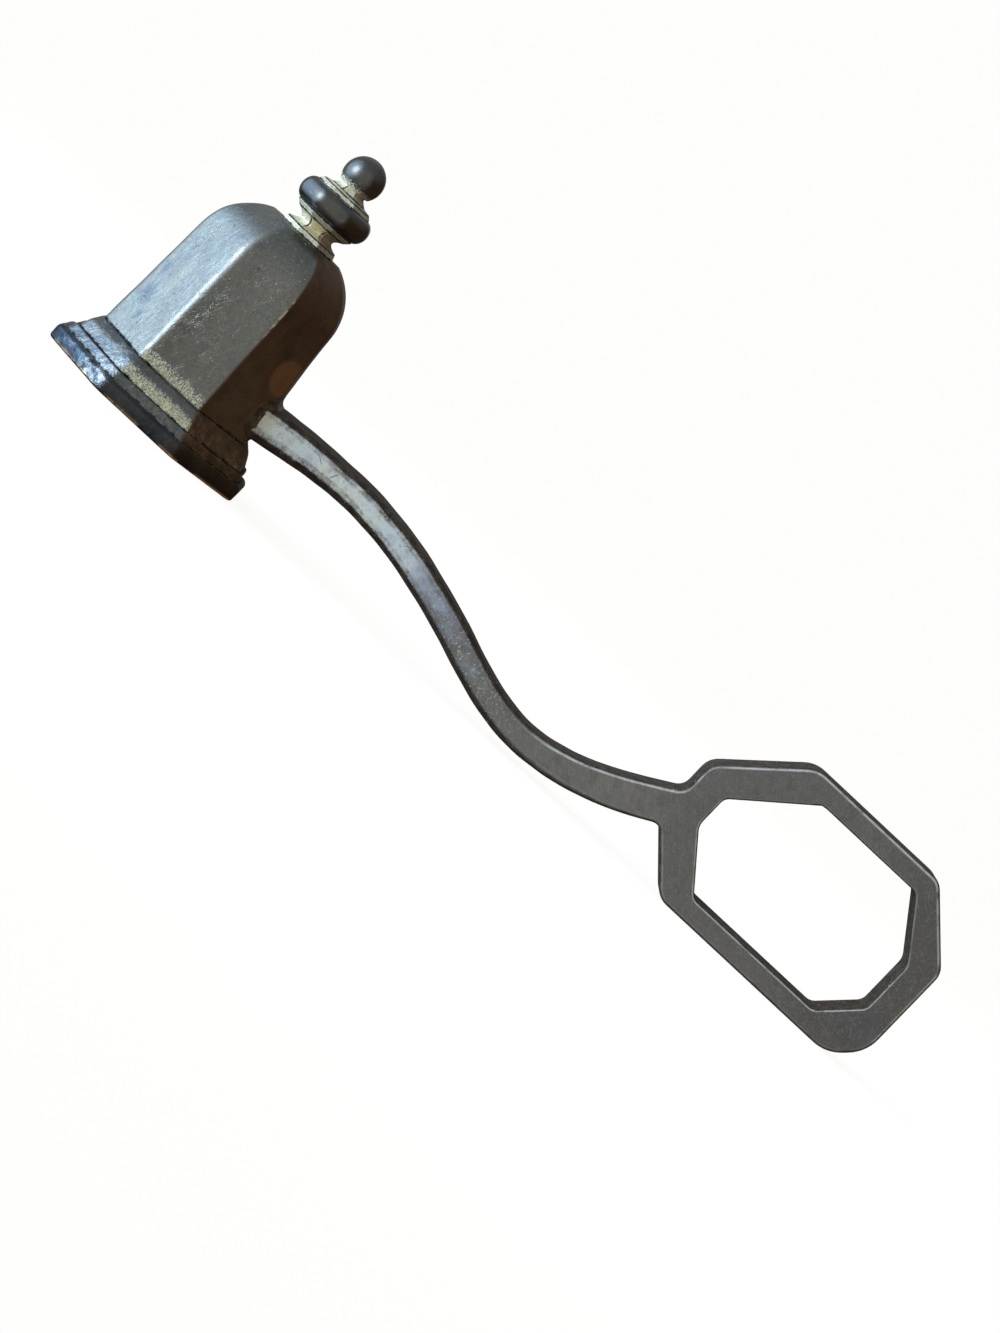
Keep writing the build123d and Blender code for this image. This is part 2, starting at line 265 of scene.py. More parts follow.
def bell_profile():
    """Closed section of the bell, from the screw hole down the core, round the lip and up to the crown."""
    inside = eased_path([
        (SCREW_HOLE_RADIUS, CORE_TOP_Z, 0.5, 1.0),
        (BORE_RADIUS, CORE_TOP_Z, 0.5, 1.0),
        (BORE_RADIUS, WALL_FOOT_Z, 0.5, 1.0),
        (MOUTH_RADIUS, 0.0, 0.5, 1.0),
        (15.7, 0.0, 2.0, 0.0),
    ], (0, 4.2, 1.2, 0.5, 0), 0.8)
    rim = eased_path([
        (15.7, 0.0, 2.0, 0.0),
        (16.64, 0.0, 2.0, 0.0),
        (16.68, 1.95, 2.0, 0.0),
        (16.1, 2.5, 1.8, 0.0),
        (15.62, 2.32, 1.7, 0.0),
        (15.05, 3.75, 1.6, 0.0),
        (14.6, 3.8, 1.5, 0.0),
        (13.95, 5.6, 1.4, 0.0),
        (12.85, 6.75, 1.2, 0.0),
        (12.74, 6.9, 1.1, 0.0),
        (12.8, 7.05, 1.1, 0.0),
        (SHOULDER_HALF, SHOULDER_Z, 1.1, 0.0),
    ], (0, 0.75, 0.7, 0.3, 0.18, 0.45, 0.16, 0.6, 0.5, 0.12, 0.12, 0), 0.4)
    direction = (SHOULDER_HALF - WALL_FOOT_HALF, SHOULDER_Z - WALL_FOOT_Z)
    arc = tangent_arc((SHOULDER_HALF, SHOULDER_Z), direction, (CROWN_HALF, CROWN_Z), 44)
    shoulder = np.column_stack([arc, np.linspace(1.1, 1.0, len(arc)), np.zeros(len(arc))])
    crown = eased_path([
        (CROWN_HALF, CROWN_Z, 1.0, 0.0),
        (SCREW_HOLE_RADIUS, CROWN_Z, 0.5, 1.0),
        (SCREW_HOLE_RADIUS, CORE_TOP_Z, 0.5, 1.0),
    ], 0.0, 0.8)
    return np.concatenate([inside, rim[1:], shoulder[1:], crown[1:]]), len(inside)


def bell(finish):
    """Bell shell: the closed section carried round a rounded octagon outside and a circle inside, then
    drawn in by the waver of the casting and, at the lip, by a few nicks that fall off as bell curves."""
    columns = octagon_columns(16, 10, CORNER_SOFTNESS)
    profile, inside_rows = bell_profile()
    grid = moulded(profile, columns)
    half, z = profile[:, 0, None], profile[:, 1, None]
    outside = np.broadcast_to(np.arange(len(profile))[:, None] >= inside_rows - 1, grid.shape[:2]) * 1.0
    nick = sum(depth * np.exp(-(bearing_gap(grid, b) / spread) ** 2) for b, depth, spread in LIP_NICKS)
    drawn_in = CAST_WAVER * cast_waver(*np.moveaxis(grid, -1, 0)) + nick * near(z, 0.55, 1.5) * (half > 15)
    arm_side = rise(60 - bearing_gap(grid, ARM_SIDE), 0, 35)
    far_side = rise(80 - bearing_gap(grid, FAR_SIDE), 0, 50)
    rim_swell = RIM_SWOLLEN * near(z, 3.9, 2.2) * (half < 15.4)
    drawn_in = drawn_in + arm_side * (SHOULDER_DRAWN * rise(z, 13, 24) - rim_swell)
    drawn_in = drawn_in - FAR_SWOLLEN * far_side * rise(z, 25, 30)
    drawn_in = drawn_in * outside * rise(half, 2.0, 6.0)
    grid[..., :2] *= (1 - drawn_in / np.maximum(half, 6))[..., None]
    front = by_facet(grid, (0, 0, 0, 0, 0, 0, 1, 0))
    crease = np.max([near(np.hypot(half - h, z - level), 0, reach) * (1 - fainter * front)
                     for h, level, reach, fainter in RIM_CREASES], axis=0)
    band = rise(z, 3.75, 3.9) * (0.35 + 0.65 * rise(5.7 - z, 0, 0.9)) * rise(6.0 - z, 0, 0.4) * (half > 13)
    foot = rise(z, 6.9, 7.05) * rise(9.6 - z, 0, 2.4)
    lip = rise(2.55 - z, 0, 0.25) * (half > 15.65)
    corner = np.broadcast_to(columns[3][None], grid.shape[:2])
    masks = {
        # Ridge mask: worn corners, with a painted highlight that grows brighter up the wall
        "ridge_wear_and_highlight": corner * rise(z, 6.6, 8.0) * rise(32.5 - z, 0, 2.5) * (0.4 + 0.6 * rise(z, 12, 24)),
        "crease": crease * outside,
        "crust": outside * np.maximum(band * by_facet(grid, (0.25, 0.5, 0.6, 0.5, 0.4, 0.16, 1.0, 0.2)),
                                      foot * by_facet(grid, (0.3, 0.5, 0.7, 0.5, 0.4, 0.22, 1.0, 0.12))),
        "lip": lip * outside,
        "lip_foot": rise(1.7 - z, 0, 1.4) * (half > 15.65) * outside,
        "lip_edge": near(z, 0.16, 0.3) * (half > 15.95) * outside,
        "soot": 1 - outside,
        # Brown: painted shade with a warm reflection on the flats beside the arm, turned from the window
        "brown": outside * by_facet(grid, (0.9, 0.35, 0.15, 0.3, 0.1, 0.0, 0.0, 1.0)),
        "rim": outside * rise(6.9 - z, 0, 0.3),
        "glint": outside * rise(6.6 - z, 0, 0.4) * rise(12 - bearing_gap(grid, 239), 0, 8),
        # Blue: painted reflection of the window, strongest on the flats that face it
        "blue": outside * by_facet(grid, (0.0, 0.1, 0.3, 0.6, 0.9, 1.0, 0.1, 0.0)),
        "hollow": outside * (0.2 + 0.8 * rise(4.0 - z, 0, 0.4)) * rise(6.9 - z, 0, 0.3) * (half < 15.75),
    }
    return make_piece("bell_shell", [(grid, True, masks)], [], "bell", finish)


def finial_profile():
    """Section of the finial from the end of its tapped hole, out along the flange and up over the ball."""
    foot = eased_path([
        (0.05, TAPPED_TOP_Z, 0.01, 1.0),
        (TAPPED_RADIUS, TAPPED_TOP_Z, 0.3, 1.0),
        (TAPPED_RADIUS, CROWN_Z, 0.3, 1.0),
        (4.45, CROWN_Z, 0.3, 0.0),
        (4.15, FLANGE_Z, 0.3, 0.0),
    ], (0, 0, 0, 0.1, 0), 0.3)
    turn = np.linspace(0, 1, 26)[:, None]
    flange_top, disc_foot = np.array((4.15, FLANGE_Z)), np.array((4.05, DISC_FOOT_Z))
    waist = np.array((1.55, 34.75))
    cove = np.column_stack([parabola(turn, flange_top, waist, disc_foot), 0.5 + 0 * turn, 0 * turn])
    disc = eased_path([
        (4.05, DISC_FOOT_Z, 0.3, 0.0),
        (4.75, 36.6, 0.35, 0.0),
        (4.6, BEAD_FOOT_Z, 0.6, 0.0),
    ], (0, 0.12, 0), 0.12)
    swing = np.linspace(-1, 1, 34)
    bulge = np.sqrt(np.clip(1 - (swing * 0.98) ** 2, 0, 1))
    bead = np.column_stack([
        4.35 + 1.47 * bulge,
        (BEAD_FOOT_Z + BEAD_TOP_Z) / 2 + (BEAD_TOP_Z - BEAD_FOOT_Z) / 2 * swing,
        0.6 + 1.4 * bulge,
        0.25 * bulge,
    ])
    cap = eased_path([
        (4.35, BEAD_TOP_Z, 0.4, 0.0),
        (4.5, 40.45, 0.35, 0.0),
        (3.95, CAP_TOP_Z, 0.35, 0.0),
        (2.9, 41.3, 0.5, 0.0),
        (2.08, BALL_NECK_Z, 0.5, 0.0),
        (2.02, 42.25, 0.5, 0.5),
    ], (0, 0.08, 0.15, 0.2, 0.25, 0), 0.15)
    lift = np.linspace(np.arcsin((42.25 - BALL_Z) / BALL_RADIUS) + 0.07, np.radians(89.2), 40)
    ball = np.column_stack([
        BALL_RADIUS * np.cos(lift),
        BALL_Z + BALL_RADIUS * np.sin(lift),
        0 * lift,
        1 + 0 * lift,
    ])
    return np.concatenate([foot, cove[1:], disc[1:], bead, cap[1:], ball])


def finial(finish):
    """Finial: its section carried round a rounded octagon, which becomes a circle at the ball. The corners
    of its two necks are drawn in a little, as the grooves that a file leaves."""
    columns = octagon_columns(10, 8, (1.0,) * 8)
    profile = finial_profile()
    grid = moulded(profile, columns)
    half, z = profile[:, 0, None], profile[:, 1, None]
    waist = rise(z, 33.9, 34.4) * rise(36.1 - z, 0, 0.5) * (half > TAPPED_RADIUS + 0.1)
    throat = rise(z, 41.15, 41.5) * rise(42.4 - z, 0, 0.4)
    corner = np.broadcast_to(columns[3][None], grid.shape[:2])
    groove = corner**1.5 * (waist + throat)
    grid[..., :2] *= (1 - NECK_GROOVE * groove)[..., None]
    depth_of_groove = sum(s * rise(22.0 - bearing_gap(grid, 22.5 + 45 * i), 0, 4)
                          for i, s in enumerate((0.5, 0.8, 0.45, 0.7, 0.6, 1.0, 0.55, 0.4)))
    line = np.max([near(np.hypot(half - h, z - level), 0, reach)
                   for h, level, reach in FINIAL_LINES], axis=0)
    pale = np.maximum(rise(36.85 - z, 0, 0.15), rise(z, 40.28, 40.42) * rise(43.9 - z, 0, 2.0))
    masks = {
        "pale": pale,
        "line": np.maximum(np.broadcast_to(line, grid.shape[:2]), groove * depth_of_groove),
        "gold": waist * by_facet(grid, (0.3, 0.3, 0.5, 0.6, 0.2, 0.15, 1.0, 0.7)),
        # Brown: painted shade on the flats turned from the window, and darker tarnish on the disc's front
        "brown": np.maximum(by_facet(grid, (1.0, 0.5, 0.2, 0.3, 0.1, 0.0, 0.05, 0.72)),
                            near(z, 36.3, 0.7) * by_facet(grid, (0, 0.3, 0.4, 0.2, 0, 0.1, 0.75, 0.9))),
    }
    ends = [(0, 0), (0, -1)]
    return make_piece("finial_knob", [(grid, True, masks)], ends, "finial", finish)


# Arm stations: x, z, slope in degrees and width square to the line
ARM_STATIONS = np.array([
    (ARM_ROOT_X - ARM_SINK, ARM_ROOT_Z - ARM_SINK * ARM_ROOT_CLIMB, ARM_ROOT_SLOPE, ARM_ROOT_WIDTH),
    (ARM_ROOT_X, ARM_ROOT_Z, ARM_ROOT_SLOPE, ARM_ROOT_WIDTH),
    (28.0, 12.1, 0.0, 4.5),
    (53.1, 6.75, -19.8, 4.5),
    (68.1, 3.15, 0.0, 4.3),
    (88.0, 9.5, ARM_END_SLOPE, ARM_END_WIDTH),
    (91.0, 9.5 + 3.0 * np.tan(np.radians(ARM_END_SLOPE)), ARM_END_SLOPE, ARM_END_WIDTH),
])

RING_OUTER = [(RING_LEFT_X, 18.5), (100.8, RING_TOP_Z), (123.8, RING_TOP_Z), (RING_RIGHT_X, 19.0),
              (RING_RIGHT_X, 4.0), (129.0, 0.0), (97.2, 0.0)]
RING_OUTER_EASE = [1.5, 1.7, 1.2, 1.2, 2.5, 2.5, 1.4]
RING_INNER = [(94.2, 16.3), (104.8, 24.9), (122.45, 24.9), (128.65, 16.6),
              (128.65, 8.5), (123.45, 3.3), (100.7, 3.3), (94.2, 11.2)]
RING_FOOT_CUT = np.array([(RING_LEFT_X, 8.3), (97.2, 0.0)])
ARM_ROWS, RING_COLUMNS, FLAT_STEPS = 340, 420, 12


def arm_edge(side):
    """Long edge of the arm: cubic spans through the stations moved half a width square to the line."""
    x, z, slope, width = ARM_STATIONS.T
    direction = np.stack([np.cos(np.radians(slope)), np.sin(np.radians(slope))], axis=1)
    square = np.stack([-direction[:, 1], direction[:, 0]], axis=1)
    point = np.stack([x, z], axis=1) + square * (side * width / 2)[:, None]
    reach = np.linalg.norm(np.diff(point, axis=0), axis=1)[:, None] / 3
    p0, p3 = point[:-1, None], point[1:, None]
    p1 = p0 + (direction[:-1] * reach)[:, None]
    p2 = p3 - (direction[1:] * reach)[:, None]
    t = np.linspace(0, 1, 120)[None, :, None]
    span = (1 - t) ** 3 * p0 + 3 * t * (1 - t) ** 2 * p1 + 3 * t**2 * (1 - t) * p2 + t**3 * p3
    return np.concatenate([span[0], *span[1:, 1:]])


def resample(path, count):
    """The same path as count points at even distances."""
    run = np.concatenate([[0], np.cumsum(np.linalg.norm(np.diff(path, axis=0), axis=1))])
    even = np.linspace(0, run[-1], count)
    return np.stack([np.interp(even, run, path[:, i]) for i in range(path.shape[1])], axis=1)


def handle_outline():
    """Outline of the handle as three joined paths: the arm's top edge, the ring round to the arm's foot,
    and the arm's foot edge. The two corners where the arm meets the ring are split at their middles."""
    top, foot = arm_edge(1), arm_edge(-1)
    top = top[top[:, 0] < RING_LEFT_X - 3.0]
    foot = foot[foot[:, 0] < RING_LEFT_X - 1.5]
    top_way = (top[-1] - top[-4]) / np.linalg.norm(top[-1] - top[-4])
    top_joint = top[-1] + top_way * (RING_LEFT_X - top[-1, 0]) / top_way[0]
    foot_way = (foot[-1] - foot[-4]) / np.linalg.norm(foot[-1] - foot[-4])
    cut_way = RING_FOOT_CUT[1] - RING_FOOT_CUT[0]
    run = np.linalg.solve(np.stack([foot_way, -cut_way], axis=1), RING_FOOT_CUT[0] - foot[-1])
    foot_joint = foot[-1] + foot_way * run[0]
    corners = [top[-1], top_joint, *RING_OUTER, foot_joint, foot[-1]]
    loop = eased_path(corners, [0, 1.3, *RING_OUTER_EASE, 1.3, 0], 0.3)
    split_top = np.argmin(np.linalg.norm(loop - top_joint, axis=1))
    split_foot = np.argmin(np.linalg.norm(loop - foot_joint, axis=1))
    arm_top = resample(np.concatenate([top, loop[1:split_top + 1]]), ARM_ROWS)
    ring = resample(loop[split_top:split_foot + 1], RING_COLUMNS)
    arm_foot = resample(np.concatenate([foot, loop[:split_foot - 1:-1][1:]]), ARM_ROWS)
    return arm_top, ring, arm_foot


def inward(path, closed=False):
    """Unit directions square to a path, on the right hand of its run."""
    if closed:
        run = np.roll(path, -1, axis=0) - np.roll(path, 1, axis=0)
    else:
        run = np.gradient(path, axis=0)
    run = run / np.linalg.norm(run, axis=1)[:, None]
    return np.stack([run[:, 1], -run[:, 0]], axis=1)


def half_depth(x):
    """Half the handle's depth along Y: even over the ring and swelling towards the bell."""
    swell = np.clip((SWELL_START_X - x) / (SWELL_START_X - SWELL_END_X), 0, None)
    return RING_HALF_DEPTH + (ROOT_HALF_DEPTH - RING_HALF_DEPTH) * swell**2


def flat_depth(x, z):
    """Half depth less the hollows that filing leaves: slow waves, deeper on the arm than on the ring."""
    hollow = 0.02 + 0.05 * rise(84 - x, 0, 20)
    return half_depth(x) - hollow * cast_waver(1.4 * x, 0.0, 1.4 * z)


def handle_masks(grid, bevel, edge):
    """Masks of the handle: its dark bevels and walls, the painted highlight line beside them, the pale coat
    that fades along the arm, partly oxide and partly a painted bright reflection, and its lilac end, the
    cream crust at the root, the slate tint of the ring's far end and the grit where the arm bends."""
    x, y = grid[..., 0], grid[..., 1]
    # Pale coat along the arm: partly oxide, partly a painted bright reflection
    bloom_and_sheen = np.interp(x, [10.5, 12, 19, 30, 40, 43, 50, 56, 64],
                      [0.7, 0.9, 1, 1, 0.95, 0.72, 0.55, 0.36, 0.06])
    behind = np.interp(x, [10.5, 14, 20, 34, 46, 60], [0.8, 0.6, 0.35, 0.7, 0.45, 0.0])
    return {
        "bevel": bevel,
        # Edge: a painted highlight line along the bevels, from the arm's end round the ring
        "edge": edge * rise(x, 64, 74),
        "bloom_and_sheen": np.where(y < 0, bloom_and_sheen, behind) * (1 - bevel),
        "lilac": rise(x, 39.5, 44.5),
        "root": rise(15.0 - x, 0, 3.0) * (1 - bevel),
        "slate": 0.5 * rise(x, 82, 94) + 0.5 * rise(x, 114, 127),
        "gritty": rise(x, 40, 47) * (0.15 + 0.85 * rise(70 - x, 0, 12)),
    }


def bevelled_wall(path, square, width):
    """Strip from the front flat over its bevel, along the wall and over the back bevel to the back flat.

    width is how far the bevel runs into the flat and down the wall, at each point of the path.
    """
    bevel = eased_path([(1.5, 0), (0.85, 0), (0, 0.85), (0, 1.5)], (0, 0.57, 0.57, 0), 0.2)
    across = np.concatenate([bevel[:, 0], [0, 0, 0], bevel[::-1, 0]])
    plan = path[:, None] + square[:, None] * (across[None, :, None] * width[:, None, None])
    front_plan = plan[:, :len(bevel)]
    front = -flat_depth(front_plan[..., 0], front_plan[..., 1]) + bevel[None, :, 1] * width[:, None]
    middle = front[:, -1:] * np.array([0.5, 0, -0.5])
    y = np.concatenate([front, middle, -front[:, ::-1]], axis=1)
    bare = rise(1.3 - bevel[:, 0], 0, 0.9)
    bare = np.concatenate([bare, [1, 1, 1], bare[::-1]])
    bare = np.maximum(bare[None], soft_edge(path[:, :1]))
    # Painted highlight line along the bevel, strongest where the edge faces up
    edge = near(bevel[:, 0], 0.8, 0.5)
    edge = np.concatenate([edge, [0, 0, 0], edge[::-1]])
    upward = 0.35 + 0.65 * rise(-square[:, 1:] - 0.6 * square[:, :1], -0.2, 0.8)
    grid = np.stack([plan[..., 0], y, plan[..., 1]], axis=-1)
    return grid, handle_masks(grid, bare, edge[None] * upward)


def soft_edge(x):
    """Share of the dark bevels that creeps over the edges of the arm's flats, none on the ring."""
    return 0.26 * rise(84 - x, 0, 12)


def flats(plan, across):
    """Front and back flat from a grid of (x, z), both at the handle's half depth. The dark edges fade with
    the fifth power of across, which is 0 along the middle of the flat and 1 at its edges."""
    half = flat_depth(plan[..., 0], plan[..., 1])
    front = np.stack([plan[..., 0], -half, plan[..., 1]], axis=-1)
    back = np.stack([plan[..., 0], half, plan[..., 1]], axis=-1)
    dark = soft_edge(plan[..., 0]) * across**5
    plain = np.zeros(plan.shape[:2])
    return [(face, False, handle_masks(face, dark, plain)) for face in (front, back)]


def hole_facing(ring_in):
    """Points of the ring's hole that face the points of its flat's outer edge, seen from the ring's centre:
    the hole's reach is read at each point's own angle."""
    inner = eased_path(RING_INNER + RING_INNER[:2], 0.8, 0.25)
    offset = inner - RING_CENTRE
    angle = np.unwrap(np.arctan2(offset[:, 1], offset[:, 0]))
    reach = np.linalg.norm(offset, axis=1)
    order = np.argsort(angle)
    out = ring_in - RING_CENTRE
    aim = np.unwrap(np.arctan2(out[:, 1], out[:, 0]))
    aim = (aim - angle.min()) % (2 * np.pi) + angle.min()
    hole_reach = np.interp(aim, angle[order], reach[order])
    return RING_CENTRE + hole_reach[:, None] * np.stack([np.cos(aim), np.sin(aim)], axis=1)


def handle(finish):
    """Arm and finger ring as one bar: bevelled walls round the outline and the hole, and two flats."""
    arm_top, ring, arm_foot = handle_outline()
    outline = np.concatenate([arm_top, ring[1:-1], arm_foot[::-1]])
    x = outline[:, 0]
    on_top = np.arange(len(outline)) < ARM_ROWS
    on_foot = np.arange(len(outline)) >= len(outline) - ARM_ROWS
    top_width = np.interp(x, [12, 40, 62, 78], [0.85, 0.8, 0.7, 0.45])
    foot_width = np.interp(x, [12, 40, 54, 70, 82, 90], [1.35, 0.9, 1.05, 1.0, 0.65, 0.45])
    width = np.where(on_top, top_width, np.where(on_foot, foot_width, RING_BEVEL))
    square = inward(outline)
    uneven = 0.09 * rise(84 - x, 0, 12) * cast_waver(1.7 * x, 3.0 * on_foot, 1.1 * outline[:, 1])
    outline = outline + square * (uneven * rise(x, 13.5, 16))[:, None]
    wall, wall_masks = bevelled_wall(outline, square, width)
    inset = wall[:, 0][:, [0, 2]]
    top_in, foot_in = inset[:ARM_ROWS], inset[::-1][:ARM_ROWS]
    share = np.linspace(0, 1, FLAT_STEPS + 1)
    arm_plan = foot_in[:, None] * (1 - share[:, None]) + top_in[:, None] * share[:, None]
    ring_in = np.concatenate([inset[ARM_ROWS - 1:len(inset) - ARM_ROWS + 1], arm_plan[-1, 1:-1]])
    hole = hole_facing(ring_in)
    hole_wall, hole_masks = bevelled_wall(hole, -inward(hole, True), np.full(len(hole), HOLE_BEVEL))
    hole_in = hole_wall[:, 0][:, [0, 2]]
    steps = np.linspace(0, 1, 7)
    ring_plan = ring_in[:, None] * (1 - steps[:, None]) + hole_in[:, None] * steps[:, None]
    ring_plan = np.concatenate([ring_plan, ring_plan[:1]])
    hole_wall = np.concatenate([hole_wall, hole_wall[:1]])
    hole_masks = {k: np.concatenate([v, v[:1]]) for k, v in hole_masks.items()}
    grids = [(wall, False, wall_masks), (hole_wall, False, hole_masks)]
    grids += flats(arm_plan, np.abs(2 * share - 1)) + flats(ring_plan, 0 * steps)
    return make_piece("handle_bar", grids, [], "handle", finish)


def bell_face(y, z):
    """X of the bell's wall beside the arm: the flat that faces +X, and the two flats beside it."""
    taper = SHOULDER_HALF - WALL_FOOT_HALF
    half = WALL_FOOT_HALF + taper * (z - WALL_FOOT_Z) / (SHOULDER_Z - WALL_FOOT_Z)
    return np.minimum(half, np.sqrt(2) * half - np.abs(y))


def braze(finish):
    """Fillet of braze metal round the arm's root: a hollow curve from a toe on the arm, past the corner
    between arm and bell, to a toe on the bell, carried round the arm's section and closed inside."""
    half = half_depth(BRAZE_X) - BRAZE_INSET
    top, foot = ARM_ROOT_Z + BRAZE_HALF_HEIGHT, ARM_ROOT_Z - BRAZE_HALF_HEIGHT
    side_top, side_foot = top - BRAZE_TOP_CUT, foot + BRAZE_FOOT_CUT
    flat_top, flat_foot = half - BRAZE_TOP_CUT, half - BRAZE_FOOT_CUT
    corners = [(0, top), (flat_top, top), (half, side_top), (half, side_foot), (flat_foot, foot),
               (-flat_foot, foot), (-half, side_foot), (-half, side_top), (-flat_top, top), (0, top)]
    loop = resample(eased_path(corners, 0.45, 0.2), 161)[:-1]
    out = -inward(loop, True)
    lump = 0.8 + 0.4 * cast_waver(2.1 * loop[:, 0], 0.7 * loop[:, 1], 1.9 * loop[:, 1])
    leg = lump * (0.9 + 0.5 * np.clip(out[:, 1], 0, 1) ** 2 - 0.1 * np.clip(-out[:, 1], 0, 1) ** 2)
    root_x = bell_face(loop[:, 0], loop[:, 1])
    arm_toe, corner = (
        np.stack([x, loop[:, 0], loop[:, 1] + ARM_ROOT_CLIMB * (x - ARM_ROOT_X)], axis=1)
        for x in (root_x + leg, root_x)
    )
    toe = loop + out * leg[:, None]
    bell_toe = np.stack([bell_face(toe[:, 0], toe[:, 1]) - BRAZE_IN_BELL, toe[:, 0], toe[:, 1]], axis=1)
    t = np.linspace(0, 1, 11)[:, None, None]
    skin = parabola(t, arm_toe, corner, bell_toe)
    buried = corner - BRAZE_BURIED * np.stack([1 + 0 * leg, out[:, 0], out[:, 1]], axis=1)
    grid = np.concatenate([skin, buried[None], skin[:1]])
    return make_piece("braze_bead", [(grid, True, {})], [], "braze_fillets", finish)


class Finish:
    """Node tree of one metal finish: each method adds a node and hands back its output."""

    def __init__(self, name):
        self.material = bpy.data.materials.new(name)
        self.material.use_nodes = True
        self.nodes = self.material.node_tree.nodes
        self.links = self.material.node_tree.links
        self.shader = self.nodes["Principled BSDF"]
        self.place = self.nodes.new("ShaderNodeTexCoord").outputs["Object"]
        self.tone = None

    def feed(self, socket, value):
        """Link an output to a socket, or set the socket's own value."""
        if isinstance(value, bpy.types.NodeSocket):
            self.links.new(value, socket)
        elif socket.type == "RGBA":
            socket.default_value = (*value, 1)
        else:
            socket.default_value = value

    def reckon(self, operation, first, second):
        """Sum of two values: ADD, SUBTRACT, MULTIPLY, MAXIMUM and so on, held between 0 and 1."""
        node = self.nodes.new("ShaderNodeMath")
        node.operation = operation
        node.use_clamp = True
        self.feed(node.inputs[0], first)
        self.feed(node.inputs[1], second)
        return node.outputs[0]

    def chain(self, operation, first, others):
        """The same sum carried on over several values."""
        for other in others:
            first = self.reckon(operation, first, other)
        return first

    def both(self, first, *others):
        return self.chain("MULTIPLY", first, others)

    def add(self, first, *others):
        return self.chain("ADD", first, others)

    def most(self, first, *others):
        return self.chain("MAXIMUM", first, others)

    def less(self, first, second):
        return self.reckon("SUBTRACT", first, second)

    def without(self, first, second):
        return self.both(first, self.less(1.0, second))

    def step(self, value, low, high, foot=0.0, top=1.0):
        """Smooth step of a value from low to high, giving foot to top."""
        node = self.nodes.new("ShaderNodeMapRange")
        node.interpolation_type = "SMOOTHSTEP"
        for socket, number in zip(node.inputs, (value, low, high, foot, top)):
            self.feed(socket, number)
        return node.outputs[0]

    def blend(self, share, first, second):
        """Colour from first to second by a share."""
        node = self.nodes.new("ShaderNodeMix")
        node.data_type = "RGBA"
        self.feed(node.inputs[0], share)
        self.feed(node.inputs[6], first)
        self.feed(node.inputs[7], second)
        return node.outputs[2]

    def lay(self, colour, *shares):
        """Lay a colour over the tone so far, by the product of the shares."""
        self.tone = self.blend(self.both(*shares), self.tone, colour)

    def turned(self, centre=(0, 0, 0), turn=(0, 0, 0), size=(1, 1, 1)):
        """Object coordinates moved to a centre, turned and divided by a size."""
        node = self.nodes.new("ShaderNodeMapping")
        node.vector_type = "TEXTURE"
        self.feed(node.inputs["Vector"], self.place)
        node.inputs["Location"].default_value = [c * MM for c in centre]
        node.inputs["Rotation"].default_value = [np.radians(a) for a in turn]
        node.inputs["Scale"].default_value = size
        return node.outputs[0]

    def noise(self, per_mm, detail=2.0, rough=0.55, turn=(0, 0, 0), size=(1, 1, 1), shift=0.0, swirl=0.0):
        """Noise with so many lumps to the millimetre, drawn out along turned axes by a size."""
        node = self.nodes.new("ShaderNodeTexNoise")
        self.feed(node.inputs["Vector"], self.turned((shift, shift * 0.7, -shift), turn, size))
        node.inputs["Scale"].default_value = per_mm / MM
        node.inputs["Detail"].default_value = detail
        node.inputs["Roughness"].default_value = rough
        node.inputs["Distortion"].default_value = swirl
        return node.outputs["Fac"]

    def spot(self, centre, half, turn=(0, 0, 0), edge=0.5):
        """Soft spot: 1 inside an egg of given half sizes in millimetres, fading over its outer share."""
        node = self.nodes.new("ShaderNodeTexGradient")
        node.gradient_type = "SPHERICAL"
        self.feed(node.inputs["Vector"], self.turned(centre, turn, [h * MM for h in half]))
        return self.step(node.outputs["Fac"], 0.0, edge)

    def mask(self, name):
        """Mask that the piece's mesh carries."""
        node = self.nodes.new("ShaderNodeAttribute")
        node.attribute_name = name
        return node.outputs["Fac"]

    def bumps(self, layers):
        """Normal from layers of (height, depth in millimetres), each laid on the one before."""
        normal = None
        for height, depth in layers:
            node = self.nodes.new("ShaderNodeBump")
            node.inputs["Strength"].default_value = 1.0
            node.inputs["Distance"].default_value = depth * MM
            self.feed(node.inputs["Height"], height)
            if normal is not None:
                self.feed(node.inputs["Normal"], normal)
            normal = node.outputs[0]
        return normal

    def done(self, metal, rough, layers):
        """Send tone, metal share, roughness and bumps to the shader and hand back the material."""
        self.feed(self.shader.inputs["Base Color"], self.tone)
        self.feed(self.shader.inputs["Metallic"], metal)
        self.feed(self.shader.inputs["Roughness"], rough)
        self.feed(self.shader.inputs["Normal"], self.bumps(layers))
        return self.material


